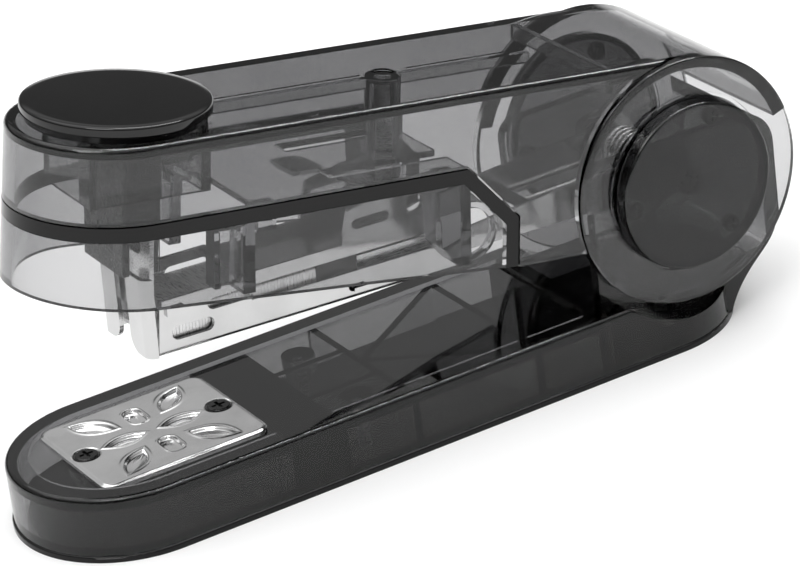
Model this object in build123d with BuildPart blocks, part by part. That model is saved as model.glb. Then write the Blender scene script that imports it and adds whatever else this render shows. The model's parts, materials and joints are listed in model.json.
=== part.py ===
"""Compact desk stapler with clear plastic covers, shown with its head raised.

The frame: +Z up, the nose at -X, the hinge at +X, and the origin on the desk under the
middle of the overall length. All sizes are in millimetres and angles in degrees.
"""

import math
import os

from build123d import *

# ---------------------------------------------------------------- driving sizes
# whole object
hinge_to_nose = 110.6  # from the hinge axis to the base's nose
hinge_height = 26.7  # hinge axis above the desk
head_open_angle = 9.25  # head raised at rest
magazine_open_angle = 3.3  # magazine raised at rest
strike_setback = 23.05  # from the base's nose back to the plane the staple is driven in

# base
base_half_width = 17.3
base_height = 10.3
base_wall = 1.8
rim_width = 3.6  # flat rim round the sunk floor
floor_drop = 0.7  # floor below the rim
floor_thickness = 1.8
rim_round = 0.8
foot_plate_thickness = 1.0
foot_plate_lip = 0.3  # plate stands out past the wall
base_rib = 1.2
land_start = 14.0  # solid land behind the anvil, from the strike plane
land_length = 9.6

# hinge tower
tower_start = -17.4  # seam between tray and tower, from the hinge axis
tower_half_width = 13.2
tower_front_gap = 1.3  # between the cheeks' front edge and the barrel round them
tower_rear_gap = 0.8  # between the cheeks' rear wall and the barrel
tower_rise = 6.8  # top of the cheeks above the axis
tower_wall = 2.0
tower_end_center = -4.9
flare_height = 13.9  # where the rear wall turns straight, above the desk
flare_foot = 7.2  # where the flare leaves the foot, behind the axis

# hinge
pin_radius = 2.0
pin_clearance = 0.05
disc_radius = 19.8
disc_thickness = 1.8
disc_side_gap = 0.6  # between a cheek and a disc
disc_edge_gap = 0.5  # between a disc and the cover round it
foot_arc_gap = 1.9  # between a disc and the base under it
cap_radius = 13.7
cap_face_radius = 13.3
cap_thickness = 2.6
cap_wall = 1.1
cap_screw_circle = 10.8
cap_screw_count = 3
cap_screw_phase = 75.0

# head covers
head_half_width = 16.1  # at the lower edge
head_floor = -9.0  # lowest level of the covers, from the hinge axis
head_draft = 2.4  # the walls lean in towards the top
cover_wall = 1.8
cover_top = 2.0
cover_round = 0.8
nose_setback = 3.5  # from the strike plane forward to the centre of the nose's arc
barrel_cut_angle = 26.0  # the barrel wall ends here, above the rear horizontal
cutout_top = 8.4  # upper edge of the opening for the lower housing
cutout_slope_start = -39.4
cutout_rear = -30.6
cutout_corner = -0.4  # level where the slope turns down
panel_bottom = -8.4
panel_corner = 1.5
seam_gap = 0.25
trim_height = 2.1
housing_nose_floor = -3.5
housing_rear_floor = -8.3
rib_thickness = 2.0
rib_floor = -5.0
rib_gap = 1.6  # between the housing's ribs and the magazine
deck_level = 8.3
deck_thickness = 1.0
deck_front = -75.0
deck_rear = -39.6
post_x = -45.5
post_radius = 2.75
post_bore = 1.3
lower_post_radius = 2.5
lower_post_floor = 3.0
screw_end_gap = 1.8  # left above the cover screw's end, below the top

# thumb pad and driver
pad_radius = 13.95
pad_setback = 2.2  # from the strike plane forward to the pad's centre
pad_screw_setback = 7.05
pad_height = 2.75
pad_foot_inset = 0.7
pad_foot_height = 1.05
boss_half_width = 7.8
boss_wall = 1.2
boss_front = 10.2  # from the strike plane forward
boss_rear = 8.6  # from the strike plane back
boss_floor = 9.2
holder_length = 5.7
holder_floor = 3.5
holder_tongue_floor = -2.5
holder_skirt = 1.1  # thickness of the skirt in front of the magazine's nose
coil_relief = 0.03  # the coil's wire is this much thinner than the legs it runs into
blade_half_width = 6.3
blade_thickness = 0.7
blade_tip = -9.3
leaf_half_width = 3.4
leaf_tip = -47.7
leaf_root = -63.0

# lift spring
lift_wire = 0.45
lift_coil_radius = 3.2
lift_coil_length = 8.0
lift_turns = 7
tie_front = -22.0  # cross tie between the magazine's arms, from the hinge axis
tie_length = 3.0

# magazine
channel_half_width = 7.4
channel_floor = -6.6
sheet = 0.7  # sheet metal thickness
channel_front_wall_top = 2.3
channel_rear_wall_top = -1.9
channel_step = 15.5  # tall front walls end here, behind the strike plane
channel_rear = -36.6
strike_slot = 1.7  # room for the blade between the front plates and the strip
front_plate_top = 6.0
front_slot_half = 1.75
arm_height = 4.0
eye_radius = 4.6
ear_x = -43.7
ear_z = 5.8
ear_radius = 3.3
ear_hole_radius = 1.45
cover_floor_level = 0.4
cover_wall_top = 2.4

# staples and pusher
staple_half_width = 6.45
staple_wire = 0.5
staple_height = 6.0
staple_count = 48
staple_pitch = 0.54
rail_half_width = 5.75
rail_floor = -4.4
rail_sheet = 0.6
pusher_length = 7.0
pusher_gap = 0.1
rod_radius = 0.9
rod_level = -3.2
spring_wire = 0.25
spring_radius = 1.35
spring_turns = 12

# anvil
anvil_length = 27.6
anvil_width = 23.5
anvil_thickness = 0.8
anvil_corner = 2.2
anvil_screw_spacing = 22.3

# ---------------------------------------------------------------- derived places
hinge_x = (hinge_to_nose + foot_plate_lip - disc_radius) / 2
strike_x = strike_setback - hinge_to_nose
base_nose_center = base_half_width - hinge_to_nose
head_nose_center = strike_x - nose_setback
pad_center = strike_x - pad_setback
disc_inner = tower_half_width + disc_side_gap
disc_outer = disc_inner + disc_thickness
tower_end_radius = base_half_width
disc_pocket_radius = disc_radius + disc_edge_gap
barrel_inner = disc_radius - cover_top
tower_front = tower_front_gap - barrel_inner
tower_rear = barrel_inner - tower_rear_gap
rib_reach = channel_half_width + rib_gap
barrel_half_width = disc_inner
foot_arc_radius = disc_radius + foot_arc_gap
base_floor_level = base_height - floor_drop
well_floor = base_height - 0.2
head_lean = math.tan(math.radians(head_draft))
hinge_bore = pin_radius + pin_clearance
channel_front = strike_x - 0.3
holder_rear = strike_x + 1.25
plate_inner_x = strike_x + 0.55 - strike_slot
plate_outer_x = plate_inner_x - sheet
strip_front = strike_x + 0.55
strip_rear = strip_front + staple_count * staple_pitch
pusher_front = strip_rear + pusher_gap
tie_drop = (tie_front + tie_length) * math.tan(math.radians(magazine_open_angle))
tie_floor = lift_wire + 0.05 - lift_coil_radius + tie_drop

os.makedirs("parts", exist_ok=True)


# ---------------------------------------------------------------- planes and shapes
def raised_frame(angle):
    """A frame on the hinge axis whose nose end is raised by angle."""
    lean = math.radians(angle)
    return Plane(
        origin=(hinge_x, 0, hinge_height),
        x_dir=(math.cos(lean), 0, -math.sin(lean)),
        z_dir=(math.sin(lean), 0, math.cos(lean)),
    )


def side_plane(frame, y=0.0):
    """Upright plane along the length: x runs to the rear, y runs up."""
    return Plane(
        origin=frame.from_local_coords(Vector(0, y, 0)), x_dir=frame.x_dir, z_dir=(0, -1, 0)
    )


def cross_plane(frame, x=0.0):
    """Upright plane across the length, facing the rear: x runs to +Y, y runs up."""
    return Plane(
        origin=frame.from_local_coords(Vector(x, 0, 0)), x_dir=(0, 1, 0), z_dir=frame.x_dir
    )


ground = Plane(origin=(hinge_x, 0, 0))
head = raised_frame(head_open_angle)
magazine = raised_frame(magazine_open_angle)
head_up = Axis(head.origin, head.z_dir)
magazine_up = Axis(magazine.origin, magazine.z_dir)


def nose_block(plane, center, half_width, rear, height, lean=0.0):
    """A block with a half-round nose, standing on the plane."""
    with BuildPart() as block:
        with BuildSketch(plane):
            with BuildLine():
                Polyline(
                    (center, -half_width), (rear, -half_width), (rear, half_width), (center, half_width)
                )
                ThreePointArc((center, half_width), (center - half_width, 0), (center, -half_width))
            make_face()
        extrude(amount=height, taper=lean)
    return block.part


def side_prism(frame, points, half_width):
    """A prism with a straight-sided outline, the same to both sides of the middle."""
    with BuildPart() as prism:
        with BuildSketch(side_plane(frame)):
            with BuildLine():
                Polyline(*points, close=True)
            make_face()
        extrude(amount=half_width, both=True)
    return prism.part


def cross_cylinder(frame, x, z, radius, y_from, y_to):
    """A round bar across the length."""
    with BuildPart() as bar:
        with BuildSketch(side_plane(frame, y_to)):
            with Locations((x, z)):
                Circle(radius)
        extrude(amount=y_to - y_from)
    return bar.part


def block(frame, low, high):
    """A box between two corners of a frame."""
    with BuildPart() as box:
        with BuildSketch(frame.offset(low[2])):
            with Locations(((low[0] + high[0]) / 2, (low[1] + high[1]) / 2)):
                Rectangle(high[0] - low[0], high[1] - low[1])
        extrude(amount=high[2] - low[2])
    return box.part


def mirrored(part):
    """The same piece on the other side of the middle plane."""
    return mirror(part, about=Plane.XZ)


def coil(plane, radius, wire, length, turns):
    """A closed-wound helical spring, its axis along the plane's normal."""
    path = plane.location * Helix(pitch=length / turns, height=length, radius=radius)
    with BuildPart() as spring:
        with BuildSketch(Plane(origin=path @ 0, z_dir=path % 0)):
            Circle(wire)
        sweep(path=path)
    return spring.part


def screw(plane, head_radius, head_height, shank_radius, shank_length):
    """A pan-head cross-slot screw: the plane holds the head's seat, the head is above it."""
    with BuildPart() as fastener:
        with BuildSketch(plane):
            Circle(head_radius)
        extrude(amount=head_height)
        fillet(fastener.faces().sort_by(Axis(plane.origin, plane.z_dir))[-1].edges(), head_height * 0.45)
        with BuildSketch(plane.offset(head_height)):
            Rectangle(head_radius * 1.2, head_radius * 0.28)
            Rectangle(head_radius * 0.28, head_radius * 1.2)
        extrude(amount=-head_height * 0.5, mode=Mode.SUBTRACT)
        with BuildSketch(plane):
            Circle(shank_radius)
        extrude(amount=-shank_length)
    return fastener.part


def save(part, name):
    """Labels a finished piece and writes its own file."""
    part.label = name
    export_step(part, f"parts/{name}.step")


# ---------------------------------------------------------------- base tray
def anvil_screw_places():
    """Centres of the anvil's two screws, on the middle line."""
    return [(strike_x - 0.2 + side * anvil_screw_spacing / 2, 0) for side in (-1, 1)]


def foot_screw_places():
    """Centres of the foot plate's screws."""
    rear = tower_end_center + 3
    front = strike_x - 0.2
    return [(front, 0), (-58, 9), (-58, -9), (rear, 6), (rear, -6)]


tray_ceiling = base_floor_level - floor_thickness
with BuildPart() as base_tray:
    add(nose_block(ground.offset(foot_plate_thickness), base_nose_center, base_half_width,
                   tower_start, base_height - foot_plate_thickness))
    rim_edges = base_tray.faces().sort_by(Axis.Z)[-1].edges()
    fillet(rim_edges.sort_by(Axis.X)[:-1], rim_round)
    add(nose_block(ground.offset(base_floor_level), base_nose_center, base_half_width - rim_width,
                   tower_start - base_wall, floor_drop + 1), mode=Mode.SUBTRACT)
    add(nose_block(ground.offset(foot_plate_thickness - 1), base_nose_center,
                   base_half_width - base_wall, tower_start - base_wall,
                   tray_ceiling - foot_plate_thickness + 1), mode=Mode.SUBTRACT)
    rib_height = tray_ceiling - foot_plate_thickness
    with BuildSketch(ground.offset(foot_plate_thickness)) as tray_ribs:
        for rib_x in (-52.0, -30.0):
            with Locations((rib_x, 0)):
                Rectangle(base_rib, 2 * (base_half_width - base_wall) + 0.4)
        # solid land that backs the anvil
        with Locations((strike_x + land_start + land_length / 2, 0)):
            Rectangle(land_length, 2 * (base_half_width - base_wall) + 0.4)
        for side in (-1, 1):
            with BuildLine():
                chevron = Line((-51.8, 0), (-30.2, side * (base_half_width - base_wall - 0.3)))
            trace(chevron, line_width=base_rib)
            with Locations(((strike_x + land_start + land_length - 52) / 2, side * 5.2)):
                Rectangle(-52 - strike_x - land_start - land_length + 0.4, base_rib)
    extrude(amount=rib_height + 0.2)
    with BuildSketch(ground.offset(foot_plate_thickness)):
        with Locations(*anvil_screw_places()):
            Circle(3.0)
        with Locations(*foot_screw_places()[:3]):
            Circle(2.6)
    extrude(amount=rib_height + 0.2)
    with BuildSketch(ground.offset(base_floor_level)):
        with Locations(*anvil_screw_places()):
            Circle(1.05)
    extrude(amount=-5.5, mode=Mode.SUBTRACT)
    with BuildSketch(ground.offset(foot_plate_thickness)):
        with Locations(*foot_screw_places()[:3]):
            Circle(0.95)
    extrude(amount=4.5, mode=Mode.SUBTRACT)
save(base_tray.part, "base_tray")

# ---------------------------------------------------------------- hinge tower
tower_top = hinge_height + tower_rise
with BuildPart() as hinge_tower:
    # rounded foot that carries on the tray's outline
    with BuildSketch(ground.offset(foot_plate_thickness)):
        with BuildLine():
            Polyline((tower_end_center, -tower_end_radius), (tower_start, -base_half_width),
                     (tower_start, base_half_width), (tower_end_center, tower_end_radius))
            ThreePointArc((tower_end_center, tower_end_radius),
                          (tower_end_center + tower_end_radius, 0),
                          (tower_end_center, -tower_end_radius))
        make_face()
    extrude(amount=base_height - foot_plate_thickness)
    rounded = hinge_tower.faces().sort_by(Axis.Z)[-1].edges().sort_by(Axis.X)[1:]
    fillet(rounded, rim_round)
    for side in (-1, 1):
        outside = sorted([side * (tower_half_width + 0.02), side * (base_half_width + 5)])
        add(cross_cylinder(ground, 0, hinge_height, foot_arc_radius, *outside), mode=Mode.SUBTRACT)
    # cheeks with the flared rear wall
    with BuildSketch(side_plane(ground)):
        with BuildLine():
            rise = Line((tower_front, foot_plate_thickness), (tower_front, tower_top - 3))
            front_round = RadiusArc(rise @ 1, (tower_front + 3, tower_top), 3)
            top = Line(front_round @ 1, (tower_rear - 6, tower_top))
            rear_round = RadiusArc(top @ 1, (tower_rear, tower_top - 6), 6)
            rear_wall = Line(rear_round @ 1, (tower_rear, flare_height))
            flare = Spline(rear_wall @ 1, (flare_foot + 5.6, flare_height - 5.4),
                           (flare_foot, foot_plate_thickness), tangents=[(-0.25, -1), (-0.35, -1)])
            Line(flare @ 1, rise @ 0)
        make_face()
    extrude(amount=tower_half_width, both=True)
    # room for the magazine's arms, open to the front and the top
    well_half = tower_half_width - tower_wall
    add(block(ground, (tower_start - 1, -well_half, well_floor),
              (tower_rear - tower_wall, well_half, tower_top + 1)), mode=Mode.SUBTRACT)
    # hollow foot
    add(block(ground, (tower_start + base_wall, -(tower_half_width - tower_wall), -1),
              (5.0, tower_half_width - tower_wall, tray_ceiling)), mode=Mode.SUBTRACT)
    with BuildSketch(ground.offset(foot_plate_thickness)):
        with Locations(*foot_screw_places()[3:]):
            Circle(2.6)
    extrude(amount=rib_height + 0.2)
    with BuildSketch(ground.offset(foot_plate_thickness)):
        with Locations(*foot_screw_places()[3:]):
            Circle(0.95)
    extrude(amount=4.5, mode=Mode.SUBTRACT)
    add(cross_cylinder(ground, 0, hinge_height, hinge_bore, -30, 30), mode=Mode.SUBTRACT)
save(hinge_tower.part, "hinge_tower")

# ---------------------------------------------------------------- foot plate and its screws
with BuildPart() as foot_plate:
    with BuildSketch(ground):
        with BuildLine():
            half = base_half_width + foot_plate_lip
            end = tower_end_radius + foot_plate_lip
            Polyline((base_nose_center, half), (tower_start, half), (tower_end_center, end))
            ThreePointArc((tower_end_center, end), (tower_end_center + end, 0), (tower_end_center, -end))
            Polyline((tower_end_center, -end), (tower_start, -half), (base_nose_center, -half))
            ThreePointArc((base_nose_center, -half), (base_nose_center - half, 0), (base_nose_center, half))
        make_face()
    extrude(amount=foot_plate_thickness)
    fillet(foot_plate.faces().sort_by(Axis.Z)[-1].edges(), 0.35)
    with BuildSketch(ground):
        with Locations(*foot_screw_places()):
            Circle(1.95)
    extrude(amount=0.75, mode=Mode.SUBTRACT)
    with BuildSketch(ground):
        with Locations(*foot_screw_places()):
            Circle(0.95)
    extrude(amount=foot_plate_thickness, mode=Mode.SUBTRACT)
save(foot_plate.part, "foot_plate")

with BuildPart() as foot_screws:
    for place in foot_screw_places():
        seat = Plane(origin=(hinge_x + place[0], place[1], 0.75), z_dir=(0, 0, -1))
        add(screw(seat, 1.85, 0.65, 0.93, 4.4))
save(foot_screws.part, "foot_screws")


# ---------------------------------------------------------------- anvil plate and its screws
def lens(length, width):
    """A pointed oval, longer along x."""
    sag = width / 2
    with BuildSketch() as shape:
        with BuildLine():
            ThreePointArc((-length / 2, 0), (0, sag), (length / 2, 0))
            ThreePointArc((length / 2, 0), (0, -sag), (-length / 2, 0))
        make_face()
    return shape.sketch


def clinch_places():
    """Each clinching groove: its centre from the plate's middle, its direction and its size."""
    places = [((0, side * 6.1), 90, (5.2, 2.6)) for side in (-1, 1)]
    places += [((side * 4.9, 0), 0, (6.2, 1.5)) for side in (-1, 1)]
    places += [((sx * 6.4, sy * 6.8), 45 * sx * sy, (6.6, 2.6)) for sx in (-1, 1) for sy in (-1, 1)]
    return places


anvil_top = base_floor_level + anvil_thickness
anvil_x = strike_x - 0.2
with BuildPart() as anvil_plate:
    with BuildSketch(ground.offset(base_floor_level)):
        with Locations((anvil_x, 0)):
            RectangleRounded(anvil_length, anvil_width, anvil_corner)
    extrude(amount=anvil_thickness)
    fillet(anvil_plate.faces().sort_by(Axis.Z)[-1].edges(), 0.3)
    for (gx, gy), turn, size in clinch_places():
        with BuildSketch(ground.offset(anvil_top)):
            with Locations(Location((anvil_x + gx, gy), turn)):
                add(lens(*size))
        extrude(amount=-0.55, taper=12, mode=Mode.SUBTRACT)
    with BuildSketch(ground.offset(anvil_top)):
        with Locations(*anvil_screw_places()):
            Circle(1.95)
    extrude(amount=-0.45, mode=Mode.SUBTRACT)
    with BuildSketch(ground.offset(base_floor_level)):
        with Locations(*anvil_screw_places()):
            Circle(1.05)
    extrude(amount=anvil_thickness, mode=Mode.SUBTRACT)
save(anvil_plate.part, "anvil_plate")

with BuildPart() as anvil_screws:
    for place in anvil_screw_places():
        seat = Plane(origin=(hinge_x + place[0], place[1], anvil_top - 0.45))
        add(screw(seat, 1.85, 0.6, 1.03, 5.2))
save(anvil_screws.part, "anvil_screws")

# ---------------------------------------------------------------- hinge pin
with BuildPart() as hinge_pin:
    add(cross_cylinder(ground, 0, hinge_height, pin_radius, -disc_outer, disc_outer))
    chamfer(hinge_pin.edges().filter_by(GeomType.CIRCLE), 0.3)
save(hinge_pin.part, "hinge_pin")

# lift spring: wound on the pin, one leg against the tower's rear wall, one under the arms' tie
with BuildPart() as lift_spring:
    coil_plane = Plane(
        origin=(hinge_x, -lift_coil_length / 2, hinge_height), x_dir=(0, 0, -1), z_dir=(0, 1, 0)
    )
    add(coil(coil_plane, lift_coil_radius, lift_wire - coil_relief, lift_coil_length, lift_turns))
    wall_reach = tower_rear - tower_wall - lift_wire
    legs = ((-lift_coil_length / 2, wall_reach, 1), (lift_coil_length / 2, -tie_front, -1))
    for y, reach, facing in legs:
        start = (hinge_x - facing * lift_wire, y, hinge_height - lift_coil_radius)
        with BuildSketch(Plane(origin=start, z_dir=(facing, 0, 0))):
            Circle(lift_wire)
        extrude(amount=reach + lift_wire)
save(lift_spring.part, "lift_spring")


# ---------------------------------------------------------------- head covers
def head_outside():
    """The outer shape that the top cover, the trim and the lower housing share."""
    return nose_block(head.offset(head_floor), head_nose_center, head_half_width, 3.0,
                      disc_radius - head_floor, head_draft)


def head_inside():
    """The hollow inside the covers."""
    return nose_block(head.offset(head_floor - 1), head_nose_center, head_half_width - cover_wall + 0.04,
                      6.0, disc_radius - head_floor - cover_top + 1, head_draft)


def cutout(inset, floor=-30.0):
    """The opening in the cover's side for the lower housing, shrunk by inset, as a prism."""
    with BuildPart() as prism:
        with BuildSketch(side_plane(head)):
            with BuildLine():
                Polyline((head_nose_center - 40, floor), (head_nose_center - 40, cutout_top - inset),
                         (cutout_slope_start - 0.41 * inset, cutout_top - inset),
                         (cutout_rear - inset, cutout_corner - 0.41 * inset),
                         (cutout_rear - inset, floor), close=True)
            make_face()
        extrude(amount=head_half_width + 5, both=True)
    return prism.part


def housing_underside(drop=0.0):
    """Everything below the lower housing's sloping bottom edge."""
    nose = head_nose_center - head_half_width
    return side_prism(head, [(nose - 5, housing_nose_floor - drop), (nose, housing_nose_floor - drop),
                             (cutout_rear, housing_rear_floor - drop), (5, housing_rear_floor - 1.5 - drop),
                             (5, -40), (nose - 5, -40)], head_half_width + 5)


with BuildPart() as top_cover:
    add(head_outside())
    top_face = top_cover.faces().sort_by(head_up)[-1]
    fillet(top_face.edges().sort_by(Axis(head.origin, head.x_dir))[:-1], cover_round)
    add(block(head, (0, -30, -30), (30, 30, 30)), mode=Mode.SUBTRACT)
    # barrel over the hinge
    add(cross_cylinder(head, 0, 0, disc_radius, -barrel_half_width, barrel_half_width))
    add(head_inside(), mode=Mode.SUBTRACT)
    add(cross_cylinder(head, 0, 0, barrel_inner, -barrel_half_width - 5, barrel_half_width + 5),
        mode=Mode.SUBTRACT)
    reach = 2 * disc_radius
    cut = math.radians(barrel_cut_angle)
    below_barrel = [(0, 0), (reach * math.cos(cut), reach * math.sin(cut)), (reach, -reach),
                    (-disc_pocket_radius, -reach), (-disc_pocket_radius, 0)]
    add(side_prism(head, below_barrel, barrel_half_width + 0.01), mode=Mode.SUBTRACT)
    # round clearances for the hinge discs
    for side in (-1, 1):
        outside = sorted([side * barrel_half_width, side * (head_half_width + 5)])
        add(cross_cylinder(head, 0, 0, disc_pocket_radius, *outside), mode=Mode.SUBTRACT)
    add(cutout(0), mode=Mode.SUBTRACT)
    side_reach = head_half_width + 5
    add(block(head, (cutout_rear - 5, -side_reach, -40), (5, side_reach, panel_bottom)), mode=Mode.SUBTRACT)
    # screw post, boss for the thumb pad and the stiffening rib under the top
    plate_under = disc_radius - cover_top
    with BuildSketch(head.offset(deck_level)):
        with Locations((post_x, 0)):
            Circle(post_radius)
    extrude(amount=plate_under - deck_level + 0.1)
    add(block(head, (strike_x + boss_rear, -0.6, plate_under - 1.6), (-20, 0.6, plate_under + 0.2)))
    add(block(head, (-14.8, -13.0, plate_under - 2.2), (-13.6, 13.0, plate_under + 0.2)))
    add(block(head, (strike_x - boss_front, -boss_half_width, boss_floor),
              (strike_x + boss_rear, boss_half_width, plate_under + 0.2)))
    add(block(head, (strike_x - boss_front + boss_wall, -boss_half_width + boss_wall, boss_floor - 1),
              (strike_x + boss_rear - boss_wall, boss_half_width - boss_wall, plate_under)),
        mode=Mode.SUBTRACT)
    with BuildSketch(head.offset(deck_level - 1)):
        with Locations((post_x, 0)):
            Circle(post_bore)
    extrude(amount=plate_under - deck_level, mode=Mode.SUBTRACT)
    # screw hole mark and the fine line along the top
    with BuildSketch(head.offset(disc_radius)):
        with Locations((post_x, 0)):
            Circle(1.7)
        with Locations(((pad_center + pad_radius + 1 + post_x - 4) / 2, 0)):
            Rectangle(post_x - 4 - pad_center - pad_radius - 1, 0.4)
        with Locations(((post_x + 4 - 24) / 2, 0)):
            Rectangle(-24 - post_x - 4, 0.4)
    extrude(amount=-0.3, mode=Mode.SUBTRACT)
    with BuildSketch(head.offset(disc_radius)):
        with Locations((strike_x - pad_screw_setback, 0)):
            Circle(1.1)
    extrude(amount=-4, mode=Mode.SUBTRACT)
save(top_cover.part, "top_cover")


def cover_shell():
    """The drafted wall alone, before it is divided into trim and lower housing."""
    with BuildPart() as shell:
        add(head_outside())
        add(head_inside(), mode=Mode.SUBTRACT)
    return shell.part


with BuildPart() as trim_band:
    add(cover_shell())
    add(cutout(seam_gap), mode=Mode.INTERSECT)
    add(cutout(seam_gap + trim_height, floor=-30.5), mode=Mode.SUBTRACT)
    add(housing_underside(), mode=Mode.SUBTRACT)
save(trim_band.part, "trim_band")

housing_inset = seam_gap + trim_height + 0.05
with BuildPart() as lower_housing:
    add(cover_shell())
    add(cutout(housing_inset), mode=Mode.INTERSECT)
    add(housing_underside(), mode=Mode.SUBTRACT)
    inner = head_half_width - cover_wall
    for side in (-1, 1):
        # slim upright rib and the broad tapering one, on each wall
        wall_y = sorted([side * rib_reach, side * (inner + 0.6)])
        rib_x = strike_x + 10.6
        add(block(head, (rib_x, wall_y[0], rib_floor), (rib_x + rib_thickness, wall_y[1], cutout_top)))
        # open box against the slim rib
        box_x = rib_x - 4.6
        box_y = sorted([side * (rib_reach + 2.2), side * (rib_reach + 2.2 + rib_thickness)])
        face_y = sorted([side * (rib_reach + 2.2), side * (inner + 0.6)])
        add(block(head, (box_x, box_y[0], rib_floor + 1.5), (rib_x + 0.2, box_y[1], cutout_top - 3.5)))
        add(block(head, (box_x, face_y[0], rib_floor + 1.5), (box_x + 0.9, face_y[1], cutout_top - 3.5)))
        with BuildSketch(side_plane(head, wall_y[1])):
            with BuildLine():
                Polyline((-44.6, cutout_top), (-38.8, cutout_top), (-38.4, housing_rear_floor + 1.3),
                         (-40.6, housing_rear_floor + 1.3), (-43.4, housing_rear_floor + 4.5), close=True)
            make_face()
        extrude(amount=wall_y[1] - wall_y[0])
        # round window frame behind the broad rib
        frame_y = sorted([side * (inner - 1.2), side * (inner + 0.6)])
        with BuildSketch(side_plane(head, frame_y[1])):
            with Locations((-38.6, -2.0)):
                Circle(4.6)
                Circle(3.7, mode=Mode.SUBTRACT)
            with Locations((-45, -2.0)):
                Rectangle(12.8, 14, mode=Mode.SUBTRACT)
        extrude(amount=frame_y[1] - frame_y[0])
    add(cutout(housing_inset), mode=Mode.INTERSECT)
    # deck that carries the lower post, slotted for the magazine's ears
    deck_low = deck_level - deck_thickness
    deck_half = inner - head_lean * (deck_level - head_floor) - 0.2
    add(block(head, (deck_front, -deck_half, deck_low), (deck_rear, deck_half, deck_level)))
    for side in (-1, 1):
        arm_y = sorted([side * (deck_half - 2.0), side * deck_half])
        for arm_x in (-44.4, deck_front + 0.6):
            add(block(head, (arm_x, arm_y[0], 4.0), (arm_x + 3.0, arm_y[1], deck_level)))
        foot_y = sorted([side * (deck_half - 2.0), side * (inner - 0.1)])
        foot_top = cutout_top - housing_inset
        add(block(head, (deck_front + 0.6, foot_y[0], 4.0), (deck_front + 3.6, foot_y[1], foot_top)))
        slot_y = sorted([side * (channel_half_width - 2.5), side * (channel_half_width + 0.9)])
        add(block(head, (-59.5, slot_y[0], deck_low - 1), (-38.2, slot_y[1], deck_level + 1)),
            mode=Mode.SUBTRACT)
    with BuildSketch(head.offset(lower_post_floor)):
        with Locations((post_x, 0)):
            Circle(lower_post_radius)
    extrude(amount=deck_level - lower_post_floor)
    with BuildSketch(head.offset(lower_post_floor - 1)):
        with Locations((post_x, 0)):
            Circle(post_bore)
    extrude(amount=deck_level - lower_post_floor + 2, mode=Mode.SUBTRACT)
save(lower_housing.part, "lower_housing")

# ---------------------------------------------------------------- hinge discs and caps
def cap_screw_places():
    """Centres of a cap's screws in the head's side view."""
    step = 360 / cap_screw_count
    angles = [math.radians(cap_screw_phase + n * step) for n in range(cap_screw_count)]
    return [(cap_screw_circle * math.cos(a), cap_screw_circle * math.sin(a)) for a in angles]


with BuildPart() as hinge_disc:
    add(cross_cylinder(head, 0, 0, disc_radius, -disc_outer, -disc_inner))
    near = hinge_disc.faces().sort_by(Axis.Y)[0]
    fillet(near.edges(), 0.4)
    with BuildSketch(side_plane(head, -disc_outer + disc_thickness)):
        with Locations(*cap_screw_places()):
            Circle(0.8)
        Circle(hinge_bore)
    extrude(amount=disc_thickness + 1, mode=Mode.SUBTRACT)
    # recess that centres the cap
    with BuildSketch(side_plane(head, -disc_outer)):
        Circle(cap_radius + 0.5)
        Circle(cap_radius - 0.8, mode=Mode.SUBTRACT)
    extrude(amount=-0.35, mode=Mode.SUBTRACT)
save(hinge_disc.part, "right_hinge_disc")
save(mirrored(hinge_disc.part), "left_hinge_disc")

with BuildPart() as hinge_cap:
    with BuildSketch(side_plane(head, -disc_outer + 0.35)):
        Circle(cap_radius)
    cap_lean = math.degrees(math.atan((cap_radius - cap_face_radius) / (cap_thickness + 0.35)))
    extrude(amount=cap_thickness + 0.35, taper=cap_lean)
    fillet(hinge_cap.faces().sort_by(Axis.Y)[0].edges(), 0.6)
    with BuildSketch(side_plane(head, -disc_outer + 0.35)):
        Circle(cap_radius - 0.8)
    extrude(amount=0.37, mode=Mode.SUBTRACT)
    with BuildSketch(side_plane(head, -disc_outer + 0.01)):
        Circle(cap_radius - cap_wall)
    extrude(amount=cap_thickness - cap_wall, mode=Mode.SUBTRACT)
save(hinge_cap.part, "right_hinge_cap")
save(mirrored(hinge_cap.part), "left_hinge_cap")

with BuildPart() as cap_screws:
    for x, z in cap_screw_places():
        for side in (-1, 1):
            middle = head.from_local_coords(Vector(x, side * disc_outer, z))
            seat = Plane(origin=middle, x_dir=head.x_dir, z_dir=(0, side, 0))
            add(screw(seat, 1.45, 1.0, 0.78, disc_thickness - 0.1))
save(cap_screws.part, "cap_screws")

# ---------------------------------------------------------------- thumb pad
with BuildPart() as thumb_pad:
    with BuildSketch(head.offset(disc_radius + pad_foot_height)):
        with Locations((pad_center, 0)):
            Circle(pad_radius)
    extrude(amount=pad_height - pad_foot_height)
    fillet(thumb_pad.faces().sort_by(head_up)[-1].edges(), 0.55)
    with BuildSketch(head.offset(disc_radius)):
        with Locations((pad_center, 0)):
            Circle(pad_radius - pad_foot_inset)
    extrude(amount=pad_foot_height)
    with BuildSketch(head.offset(disc_radius)):
        with Locations((strike_x - pad_screw_setback, 0)):
            Circle(0.9)
    extrude(amount=pad_height - 0.8, mode=Mode.SUBTRACT)
save(thumb_pad.part, "thumb_pad")

pad_screw_seat = Plane(
    origin=head.from_local_coords(Vector(strike_x - pad_screw_setback, 0, plate_under)),
    x_dir=head.x_dir,
    z_dir=-head.z_dir,
)
with BuildPart() as pad_screw:
    add(screw(pad_screw_seat, 1.85, 1.4, 0.88, cover_top + pad_height - 0.9))
save(pad_screw.part, "pad_screw")

cover_screw_seat = Plane(origin=head.from_local_coords(Vector(post_x, 0, lower_post_floor)),
                         x_dir=head.x_dir, z_dir=-head.z_dir)
with BuildPart() as cover_screw:
    add(screw(cover_screw_seat, 2.3, 1.1, 1.25, plate_under - lower_post_floor - screw_end_gap))
save(cover_screw.part, "cover_screw")

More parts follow.
